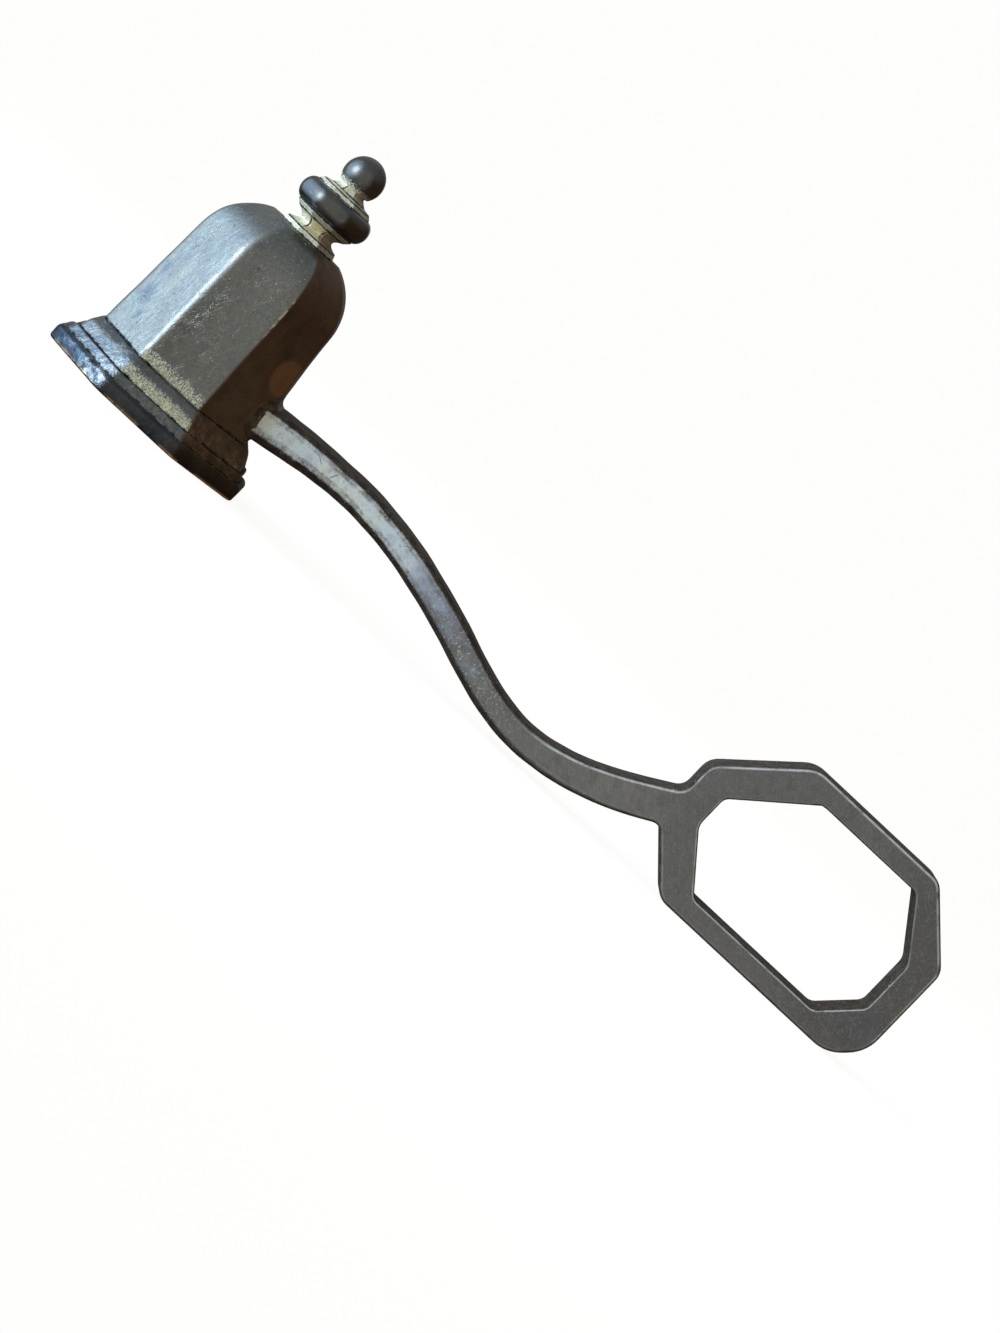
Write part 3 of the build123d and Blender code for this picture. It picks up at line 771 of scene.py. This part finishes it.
def bell_tarnish():
    """Cast brass under an even dark tarnish: clouds and scattered specks, crust on the rim's band and at
    the foot of the wall, dark lines in the creases, a near-black lip whose bottom edge is partly worn to
    brass and partly a painted warm reflection, soot inside."""
    f = Finish("bell_tarnish")
    blue, brown, rim, lip, ridge_wear_and_highlight, soot = map(f.mask, ("blue", "brown", "rim", "lip", "ridge_wear_and_highlight", "soot"))
    grey = f.less(1.0, brown)
    cloud = f.step(f.noise(0.13, 4, 0.6, size=(1, 1, 2.2)), 0.36, 0.64)
    patch = f.step(f.noise(0.5, 5, 0.68, size=(1, 1, 2.0), shift=40), 0.46, 0.66)
    grain = f.noise(4.5, 3, 0.62)
    leather = f.noise(1.3, 4, 0.68, size=(1, 1, 1.3), shift=9)
    brushed = f.noise(2.4, 4, 0.7, turn=(0, 6, 0), size=(1, 1, 4.0), shift=33, swirl=0.25)
    streaky = f.both(blue, f.step(f.noise(0.22, 4, 0.65, shift=77), 0.38, 0.62, 0.12, 0.5))
    pit = f.step(f.noise(1.5, 3, 0.65, shift=70), 0.65, 0.71)

    # Skin of the wall; on the left flats, which face the window, a painted bluish reflection with brushed
    # streaks painted pale and dark in it
    f.tone = f.blend(cloud, (0.225, 0.225, 0.21), (0.29, 0.285, 0.26))
    f.lay((0.165, 0.18, 0.185), patch, 0.5)
    dusk = f.spot((-3.6, -12.5, 14.0), (1.8, 2, 7.0), (0, 4, 0), 0.9)
    f.lay((0.13, 0.12, 0.125), dusk, f.step(leather, 0.62, 0.38), 0.6)
    f.lay((0.12, 0.12, 0.108), f.step(grain, 0.35, 0.7), 0.55)
    f.lay((0.33, 0.335, 0.30), f.step(leather, 0.5, 0.66), 0.45)
    f.lay((0.275, 0.30, 0.33), blue, 0.35)
    f.lay((0.42, 0.455, 0.49), streaky, f.step(brushed, 0.5, 0.66))
    f.lay((0.14, 0.17, 0.205), streaky, f.step(brushed, 0.48, 0.32))
    f.lay((0.06, 0.06, 0.055), pit, 0.55)

    # Stains of the rim and its hollow, tinted blue on the window side as a painted reflection; and the
    # brown of the flats beside the arm, painted shade with a warm reflection
    clotted = f.step(f.noise(1.4, 4, 0.7, shift=71), 0.36, 0.64, 0.1, 0.75)
    f.lay(f.blend(blue, (0.11, 0.115, 0.115), (0.125, 0.165, 0.215)), f.mask("hollow"), clotted)
    blue_blotches = f.step(f.noise(0.6, 5, 0.72, shift=83), 0.46, 0.6, 0.0, 0.6)
    f.lay((0.145, 0.20, 0.28), blue, rim, blue_blotches)
    f.lay(f.blend(cloud, (0.165, 0.10, 0.058), (0.21, 0.135, 0.08)), brown, 0.92)
    bared = f.step(f.noise(0.7, 5, 0.72, shift=96), 0.44, 0.62)
    f.lay((0.36, 0.225, 0.12), brown, rim, bared, 0.75)
    soiled = f.step(f.noise(0.4, 5, 0.7, shift=90), 0.46, 0.62)
    f.lay((0.085, 0.056, 0.04), brown, soiled, 0.3)

    # Streak and shades of the left flat
    streak = f.spot((-8.9, -8.6, 17.5), (3, 1.4, 6.0), (0, 6, 45), 0.9)
    f.lay((0.42, 0.40, 0.31), streak, f.step(grain, 0.35, 0.6), 0.4)
    dark_grain = f.step(grain, 0.66, 0.36)
    for centre, half in (((-10.6, -6.9, 13.2), (3, 2.0, 2.6)), ((-11.2, -6.2, 17.5), (3, 0.9, 1.6)),
                         ((-9.6, -8.2, 10.5), (3, 0.8, 1.2))):
        f.lay((0.09, 0.12, 0.17), f.spot(centre, half, (0, 0, 45), 0.9), dark_grain)

    # Worn marks: scuffs and pale specks, thickest down the front flat
    worn = f.spot((-3.0, -12.4, 16.5), (1.9, 2, 7.5), (0, 10, 0), 0.9)
    cluster = f.step(f.noise(0.3, 4, 0.7, shift=25), 0.44, 0.62)
    scuff = f.step(f.noise(1.5, 3, 0.65, turn=(0, 28, 0), size=(0.3, 1, 2.4), shift=27), 0.57, 0.66)
    scuff = f.both(scuff, f.most(worn, f.both(cluster, 0.4)))
    f.lay((0.52, 0.50, 0.43), scuff, 0.6, grey)
    dots = f.noise(2.6, 4, 0.7, size=(1, 1, 1.5), shift=15)
    speck = f.step(f.add(dots, f.both(worn, 0.06)), 0.62, 0.68)
    wall_foot = f.spot((-4.2, -12.6, 8.6), (1.6, 2, 1.9), edge=0.8)
    specked = f.most(f.both(worn, 0.9), wall_foot, f.both(cluster, 0.85))
    f.lay((0.80, 0.77, 0.62), speck, specked, grey)
    # Painted warm reflection: an orange patch on the flat beside the arm
    warm_reflection_spot = f.spot((11.1, -6.3, 17.5), (3.1, 3.1, 3.1), edge=0.25)
    f.lay((0.46, 0.25, 0.12), warm_reflection_spot, 0.55)

    # Ridges: worn corners with a painted highlight that grows brighter up the wall, and a painted highlight
    # spot on the front corner under the shoulder
    f.lay((0.42, 0.41, 0.37), ridge_wear_and_highlight, f.step(f.noise(0.5, 3), 0.3, 0.6, 0.4, 1.0), grey, 0.5)
    # Painted highlight: a bright spot on the front corner under the shoulder
    glow = f.spot((4.9, -11.8, 23.2), (1.6, 1.6, 4.2), edge=0.5)
    broken = f.step(f.noise(1.1, 3, 0.6, shift=14), 0.38, 0.55)
    f.lay((0.78, 0.72, 0.62), glow, f.step(ridge_wear_and_highlight, 0.4, 0.9), broken)

    # Lip: navy on the left, a painted reflection of the window; brown beside the arm, painted shade; black
    # at its foot, with one painted glint on the left corner
    inky = f.step(f.noise(0.5, 4, 0.7, shift=64), 0.42, 0.6)
    navy = f.blend(inky, (0.03, 0.042, 0.066), (0.085, 0.125, 0.18))
    dark_lip = f.blend(blue, (0.046, 0.048, 0.056), navy)
    dark_lip = f.blend(brown, dark_lip, (0.075, 0.05, 0.034))
    f.lay(dark_lip, lip, f.step(cloud, 0.0, 1.0, 0.8, 0.97))
    left_tip = f.spot((-16.3, -7.2, 1.2), (3.0, 3.0, 2.6), edge=0.8)
    black = f.both(f.mask("lip_foot"), f.step(f.noise(0.9, 4, 0.7, shift=29), 0.3, 0.6, 0.95, 0.45))
    f.lay((0.02, 0.022, 0.032), f.most(f.both(left_tip, 0.7), f.both(black, 0.8)))
    glint = f.step(f.noise(0.8, 4, 0.65, shift=52), 0.4, 0.58)
    f.lay((0.50, 0.53, 0.56), f.mask("glint"), glint, 0.75)

    # Dark lines in the creases, crust on the band and at the wall's foot, the lip's bottom edge partly worn
    # and partly a painted warm reflection, soot inside
    ragged = f.step(f.noise(0.9, 4, 0.7), 0.3, 0.7, -0.42, 0.3)
    crease = f.step(f.add(f.mask("crease"), ragged), 0.25, 0.62)
    crease = f.without(crease, f.both(brown, 0.15))
    f.lay((0.02, 0.019, 0.018), crease)
    band = f.mask("crust")
    strokes = f.noise(5.5, 4, 0.7, size=(1, 1, 1.8), shift=4)
    drift = f.step(f.noise(0.8, 3, 0.6, shift=18), 0.3, 0.7, -0.22, 0.22)
    crust = f.add(f.both(band, 0.82), f.step(strokes, 0.32, 0.68, -0.42, 0.36), drift)
    crust = f.without(f.both(f.step(crust, 0.2, 0.85), f.step(band, 0.03, 0.45)), crease)
    f.lay(f.blend(f.step(strokes, 0.4, 0.65), (0.38, 0.35, 0.215), (0.78, 0.74, 0.52)), crust)
    # Lip's bottom edge in brass: partly worn, partly a painted warm reflection
    f.lay((0.70, 0.44, 0.22), f.mask("lip_edge"), f.step(f.noise(0.35, 3, shift=22), 0.4, 0.52))
    smoke = f.step(f.noise(0.35, 4), 0.4, 0.65)
    f.lay(f.blend(smoke, (0.016, 0.014, 0.012), (0.075, 0.06, 0.042)), soot)

    rough = f.step(f.add(f.both(cloud, 0.5), f.both(patch, 0.5)), 0.0, 1.0, 0.32, 0.47)
    rough = f.less(f.add(rough, f.both(ridge_wear_and_highlight, 0.05)), f.both(lip, 0.1))
    dull_brown = f.both(brown, f.step(rim, 0.0, 1.0, 0.24, 0.5))
    rough = f.add(rough, dull_brown, f.both(f.most(crust, soot), 0.3))
    metal = f.less(1.0, f.most(f.both(crust, 0.8), f.both(soot, 0.75)))
    lumps = f.both(rim, f.noise(0.55, 4, 0.6, shift=35))
    marks = f.less(f.most(speck, scuff), pit)
    layers = [(f.noise(0.5, 3, shift=5), 0.035), (leather, 0.036), (grain, 0.013),
              (f.both(streaky, brushed), 0.028), (marks, 0.028), (lumps, 0.34),
              (f.both(crust, strokes), 0.05)]
    return f.done(metal, rough, layers)


def finial_tarnish():
    """Ball and bead under a dark glossy tarnish; the necks, discs and flange bare pale brass with thin dark
    lines along their edges, dirt and, at the disc's foot, a painted shadow under it, and dirt in the filed
    corners; the flats turned from the window are painted browner, as shade."""
    f = Finish("finial_tarnish")
    brown, gold = map(f.mask, ("brown", "gold"))
    cloud = f.step(f.noise(0.4, 4, 0.6), 0.38, 0.64)
    grain = f.noise(6.0, 3, 0.6)
    f.tone = f.blend(cloud, (0.125, 0.132, 0.147), (0.163, 0.158, 0.15))
    # Painted shade: the flats turned from the window browner and darker
    f.lay((0.12, 0.09, 0.07), brown, 0.7)
    f.lay((0.6, 0.56, 0.44), f.step(f.noise(3.0, 2, 0.6, shift=15), 0.66, 0.71), 0.45)
    broken = f.step(f.noise(4.5, 4, 0.7, shift=3), 0.3, 0.7, -0.45, 0.4)
    pale = f.step(f.add(f.mask("pale"), broken), 0.4, 0.68)
    cream = f.blend(f.step(f.noise(1.2, 3), 0.35, 0.65), (0.74, 0.70, 0.51), (0.94, 0.92, 0.77))
    gilded = f.both(gold, f.step(f.noise(1.0, 3, shift=6), 0.35, 0.65, 0.35, 0.9))
    cream = f.blend(gilded, cream, (0.86, 0.74, 0.40))
    # Painted shade: the cream turns dark brown on the side turned from the window
    cream = f.blend(f.both(brown, 0.8), cream, (0.2, 0.14, 0.075))
    f.lay(cream, pale)
    # Dark lines along the edges and in the filed corners: dirt, with a painted shadow under the disc
    ragged = f.step(f.noise(1.5, 3), 0.3, 0.7, -0.3, 0.15)
    line = f.step(f.add(f.mask("line"), ragged), 0.28, 0.55)
    f.lay((0.03, 0.026, 0.02), line)
    f.lay((0.12, 0.1, 0.06), pale, f.step(f.noise(3.2, 4, 0.72, shift=30), 0.54, 0.63), 0.6)
    rough = f.add(f.step(cloud, 0.0, 1.0, 0.24, 0.32), f.both(pale, 0.18))
    metal = f.less(1.0, f.both(pale, f.less(0.75, f.both(gold, 0.3))))
    layers = [(f.noise(0.9, 3, shift=5), 0.02), (grain, 0.008), (f.less(pale, line), 0.02)]
    return f.done(metal, rough, layers)


def handle_tarnish():
    """Filed grey flats with slanting marks and pale specks, a pale coat along the arm's first half, partly
    oxide and partly a painted bright reflection, dark brown bevels and walls with flecks of brass, and a
    painted highlight line along the upper edges."""
    f = Finish("handle_tarnish")
    wall, lilac = map(f.mask, ("bevel", "lilac"))
    filed = f.noise(1.0, 3, 0.6, turn=(0, 47, 0), size=(2.6, 0.8, 0.09))
    scratch = f.step(f.noise(1.0, 2, 0.5, turn=(0, 52, 0), size=(4.0, 0.8, 0.11), shift=33), 0.66, 0.72)
    cross = f.step(f.noise(1.0, 2, 0.5, turn=(0, 20, 0), size=(3.2, 0.8, 0.1), shift=61), 0.65, 0.71)
    scratch = f.most(scratch, cross)
    cloud = f.step(f.noise(0.16, 4, 0.6), 0.36, 0.64)
    mottle = f.step(f.noise(0.55, 5, 0.68, shift=80), 0.47, 0.66)
    grain = f.noise(4.5, 3, 0.62)
    speck = f.both(f.step(f.noise(2.9, 3, 0.65, shift=15), 0.56, 0.64), f.mask("gritty"))

    # Filed flats, slate towards the ring's far end
    f.tone = f.blend(f.step(filed, 0.3, 0.7), (0.265, 0.265, 0.268), (0.345, 0.345, 0.348))
    f.lay((0.24, 0.24, 0.23), cloud, 0.35)
    f.lay(f.blend(cloud, (0.125, 0.132, 0.155), (0.165, 0.158, 0.152)), f.mask("slate"), 0.8)
    f.lay((0.15, 0.145, 0.14), mottle, 0.35)
    f.lay((0.38, 0.37, 0.36), f.step(grain, 0.5, 0.7), 0.35)
    f.lay((0.52, 0.51, 0.48), scratch, 0.6)

    # Pale coat of the arm, partly oxide and partly a painted bright reflection: pale blue to white, mottled
    # and flawed, lilac at its end and cream at the root
    drift = f.step(f.noise(0.6, 4, 0.65, shift=8), 0.3, 0.7, -0.25, 0.2)
    bloom_and_sheen = f.step(f.add(f.mask("bloom_and_sheen"), drift), 0.12, 1.0)
    bloom_and_sheen = f.both(bloom_and_sheen, f.step(grain, 0.3, 0.6, 0.86, 1.0))
    hue = f.step(f.noise(0.22, 3, shift=50), 0.42, 0.58)
    pale = f.blend(hue, (0.86, 0.95, 1.0), (0.96, 1.0, 0.94))
    dappled = f.step(f.noise(0.5, 5, 0.75, shift=44), 0.52, 0.66)
    pale = f.blend(f.both(dappled, 0.6), pale, (0.40, 0.50, 0.62))
    pale = f.blend(lilac, pale, (0.49, 0.56, 0.72))
    flaw = f.step(f.noise(1.9, 4, 0.7, turn=(0, 35, 0), size=(1.6, 1, 0.8), shift=19), 0.6, 0.68)
    pale = f.blend(f.both(flaw, 0.55), pale, (0.16, 0.20, 0.22))
    pale = f.blend(f.both(f.mask("root"), f.step(grain, 0.35, 0.6, 0.3, 0.9)), pale, (0.66, 0.66, 0.47))
    f.lay(pale, bloom_and_sheen)
    f.lay((0.76, 0.76, 0.74), speck, 0.8)
    cracks = (((24.6, -5.4, 12.2), (0.09, 1.5, 1.1), 28), ((38.3, -4.8, 11.9), (0.07, 1.5, 0.6), 50),
              ((21.8, -5.5, 12.6), (0.9, 1.5, 0.07), 35), ((34.2, -5.0, 10.4), (0.8, 1.5, 0.06), 30))
    for centre, half, turn in cracks:
        f.lay((0.06, 0.075, 0.06), f.spot(centre, half, (0, turn, 0), 0.6), 0.8)

    # Dark brown bevels and walls that creep over the flats' edges, and the painted highlight line along the
    # edges
    stain = f.step(f.noise(0.8, 4, 0.65, shift=12), 0.4, 0.65)
    brown = f.blend(stain, (0.05, 0.035, 0.027), (0.105, 0.077, 0.06))
    fleck = f.step(f.noise(1.8, 3, 0.6, shift=60), 0.65, 0.71)
    brown = f.blend(f.both(fleck, 0.7), brown, (0.5, 0.4, 0.2))
    creep = f.both(f.step(f.noise(0.4, 4, 0.6, shift=58), 0.4, 0.7, 0.0, 0.38), f.step(wall, 0.03, 0.24))
    creep = f.without(creep, f.both(lilac, 0.85))
    dark = f.add(wall, f.step(grain, 0.3, 0.7, -0.2, 0.2), creep)
    f.lay(brown, f.step(dark, 0.2, 0.9))
    edge_highlight = f.both(f.mask("edge"), f.step(f.noise(0.4, 3, shift=27), 0.3, 0.55, 0.3, 1.0))
    f.lay((0.96, 0.94, 0.9), edge_highlight, 0.9)

    rough = f.step(f.add(f.both(cloud, 0.4), f.both(filed, 0.6)), 0.2, 0.8, 0.34, 0.46)
    rough = f.add(rough, f.both(bloom_and_sheen, 0.12), f.both(f.without(wall, edge_highlight), 0.4))
    dull = f.most(f.both(f.without(bloom_and_sheen, wall), 0.85), f.both(wall, 0.5), f.both(edge_highlight, 0.6))
    crusted = f.both(bloom_and_sheen, f.noise(1.2, 4, 0.65, shift=38))
    layers = [(filed, 0.012), (grain, 0.012), (f.add(speck, scratch), 0.015), (crusted, 0.06)]
    return f.done(f.less(1.0, dull), rough, layers)


def braze_tarnish():
    """Braze metal under brown tarnish: smooth, with a few cream specks and worn flecks."""
    f = Finish("braze_tarnish")
    cloud = f.step(f.noise(0.7, 4, 0.6), 0.36, 0.64)
    speck = f.step(f.noise(2.6, 2, 0.6, shift=15), 0.62, 0.68)
    f.tone = f.blend(cloud, (0.1, 0.072, 0.05), (0.17, 0.125, 0.085))
    f.lay((0.5, 0.45, 0.3), speck, 0.6)
    rough = f.step(cloud, 0.0, 1.0, 0.5, 0.66)
    return f.done(1.0, rough, [(f.noise(1.1, 3, shift=5), 0.03), (f.noise(5.0, 3, 0.6), 0.01)])


def turned_brass(name, rings_per_mm):
    """Dull turned brass: fine rings from the lathe, brown clouds of tarnish and dark specks."""
    f = Finish(name)
    wave = f.nodes.new("ShaderNodeTexWave")
    wave.wave_type = "RINGS"
    wave.rings_direction = "Z"
    f.feed(wave.inputs["Vector"], f.place)
    wave.inputs["Scale"].default_value = rings_per_mm / MM
    wave.inputs["Distortion"].default_value = 0.6
    wave.inputs["Detail"].default_value = 2.0
    rings = wave.outputs["Fac"]
    cloud = f.step(f.noise(0.8, 4, 0.6), 0.4, 0.66)
    grain = f.noise(7.0, 3, 0.6)
    f.tone = f.blend(f.both(rings, 0.4), (0.50, 0.38, 0.17), (0.36, 0.26, 0.12))
    f.lay((0.12, 0.085, 0.05), cloud, 0.8)
    f.lay((0.06, 0.045, 0.03), f.step(grain, 0.6, 0.7), 0.5)
    rough = f.step(cloud, 0.0, 1.0, 0.34, 0.55)
    return f.done(1.0, rough, [(rings, 0.006), (grain, 0.008)])


def studio_world():
    """Pale backdrop for the eye, and for everything else the soft lights of a room: each lobe is a colour
    that fades between two angles from its direction. In turn: the window at the left, its wide glow, the
    room in front, above and behind, the warm wall at the right and what comes up from below."""
    lobes = (
        ((-0.87, -0.45, 0.14), 9, 21, (4.8, 5.6, 6.4)),
        ((-0.97, -0.16, 0.06), 16, 52, (1.45, 1.95, 2.35)),
        ((0.03, -1.0, 0.05), 18, 62, (0.42, 0.42, 0.39)),
        ((0.05, 0.0, 1.0), 10, 75, (0.26, 0.30, 0.32)),
        ((-0.3, 1.0, 0.3), 18, 60, (0.26, 0.265, 0.26)),
        ((1.0, 0.0, 0.0), 12, 60, (0.085, 0.045, 0.02)),
        ((0.0, -0.2, -1.0), 15, 75, (0.085, 0.072, 0.066)),
    )
    world = bpy.data.worlds.new("studio")
    bpy.context.scene.world = world
    world.use_nodes = True
    nodes, links = world.node_tree.nodes, world.node_tree.links
    heading = nodes.new("ShaderNodeTexCoord").outputs["Generated"]
    total = None
    for direction, inner, outer, colour in lobes:
        aim = nodes.new("ShaderNodeVectorMath")
        aim.operation = "DOT_PRODUCT"
        links.new(heading, aim.inputs[0])
        aim.inputs[1].default_value = Vector(direction).normalized()
        fade = nodes.new("ShaderNodeMapRange")
        fade.interpolation_type = "SMOOTHSTEP"
        links.new(aim.outputs["Value"], fade.inputs[0])
        fade.inputs[1].default_value = np.cos(np.radians(outer))
        fade.inputs[2].default_value = np.cos(np.radians(inner))
        lit = nodes.new("ShaderNodeVectorMath")
        lit.operation = "MULTIPLY_ADD"
        links.new(fade.outputs[0], lit.inputs[0])
        lit.inputs[1].default_value = colour
        if total is None:
            lit.inputs[2].default_value = ROOM_SHADE
        else:
            links.new(total, lit.inputs[2])
        total = lit.outputs[0]
    room = nodes["Background"]
    links.new(total, room.inputs["Color"])
    backdrop = nodes.new("ShaderNodeBackground")
    backdrop.inputs["Color"].default_value = (*BACKDROP, 1)
    eye_ray = nodes.new("ShaderNodeLightPath").outputs["Is Camera Ray"]
    choice = nodes.new("ShaderNodeMixShader")
    links.new(eye_ray, choice.inputs[0])
    links.new(room.outputs[0], choice.inputs[1])
    links.new(backdrop.outputs[0], choice.inputs[2])
    links.new(choice.outputs[0], nodes["World Output"].inputs["Surface"])


def pale_floor():
    """Round pale floor under the lip and the ring's foot, which thins out into the backdrop and is open
    from below. Points are (r cos a, r sin a) about the middle of the snuffer."""
    radius = np.linspace(1.0, FLOOR_RADIUS, 30)[:, None]
    bearing = np.linspace(0, 2 * np.pi, 97)[:-1]
    x, y = FLOOR_MIDDLE_X + radius * np.cos(bearing), radius * np.sin(bearing)
    points = np.stack([x, y, 0 * x - FLOOR_DROP], axis=-1) * MM
    mesh = bpy.data.meshes.new("floor")
    faces = grid_faces(*x.shape, True)[:, ::-1].tolist() + [list(range(len(bearing)))]
    mesh.from_pydata(points.reshape(-1, 3).tolist(), [], faces)
    f = Finish("floor_paper")
    links = f.links
    f.shader.inputs["Base Color"].default_value = (0.18, 0.179, 0.177, 1)
    f.shader.inputs["Roughness"].default_value = 0.9
    f.shader.inputs["Specular IOR Level"].default_value = 0.1
    f.shader.inputs["Emission Color"].default_value = (*BACKDROP, 1)
    f.shader.inputs["Emission Strength"].default_value = 0.93
    length = f.nodes.new("ShaderNodeVectorMath")
    length.operation = "LENGTH"
    links.new(f.turned((FLOOR_MIDDLE_X, 0, 0)), length.inputs[0])
    fade = f.step(length.outputs["Value"], 100 * MM, 420 * MM)
    under = f.nodes.new("ShaderNodeNewGeometry").outputs["Backfacing"]
    clear = f.nodes.new("ShaderNodeBsdfTransparent")
    choice = f.nodes.new("ShaderNodeMixShader")
    links.new(f.most(fade, under), choice.inputs[0])
    links.new(f.shader.outputs[0], choice.inputs[1])
    links.new(clear.outputs[0], choice.inputs[2])
    links.new(choice.outputs[0], f.nodes["Material Output"].inputs["Surface"])
    mesh.materials.append(f.material)
    floor = bpy.data.objects.new("floor", mesh)
    floor.visible_glossy = False
    floor.visible_diffuse = False
    bpy.context.scene.collection.objects.link(floor)


def photo_camera():
    """Camera at the photograph's place, with its axes as they lie in the frame."""
    camera = bpy.data.cameras.new("photo_camera")
    camera.lens = FOCAL_PIXELS / HEIGHT_PIXELS * SENSOR
    camera.sensor_width = SENSOR
    camera.clip_start, camera.clip_end = 0.01, 100
    eye = bpy.data.objects.new("photo_camera", camera)
    place = Vector((19.8, -549.1, 56.4)) * MM
    right = Vector((0.7295, 0.0075, 0.6839))
    down = Vector((0.6802, -0.1125, -0.7243))
    ahead = Vector((0.0715, 0.9937, -0.0871))
    turn = Matrix((right, -down, -ahead)).transposed()
    eye.matrix_world = Matrix.Translation(place) @ turn.to_4x4()
    bpy.context.scene.collection.objects.link(eye)
    bpy.context.scene.camera = eye


bell(bell_tarnish())
finial(finial_tarnish())
handle(handle_tarnish())
braze(braze_tarnish())
for node, finish in (("finial_screw", turned_brass("screw_brass_dull", 1.4)),
                     ("finial_washer", turned_brass("washer_brass_dull", 1.1))):
    node_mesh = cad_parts[node].data
    node_mesh.materials.clear()
    node_mesh.materials.append(finish)

photo_camera()
studio_world()
pale_floor()
bpy.context.scene.view_settings.view_transform = "Standard"
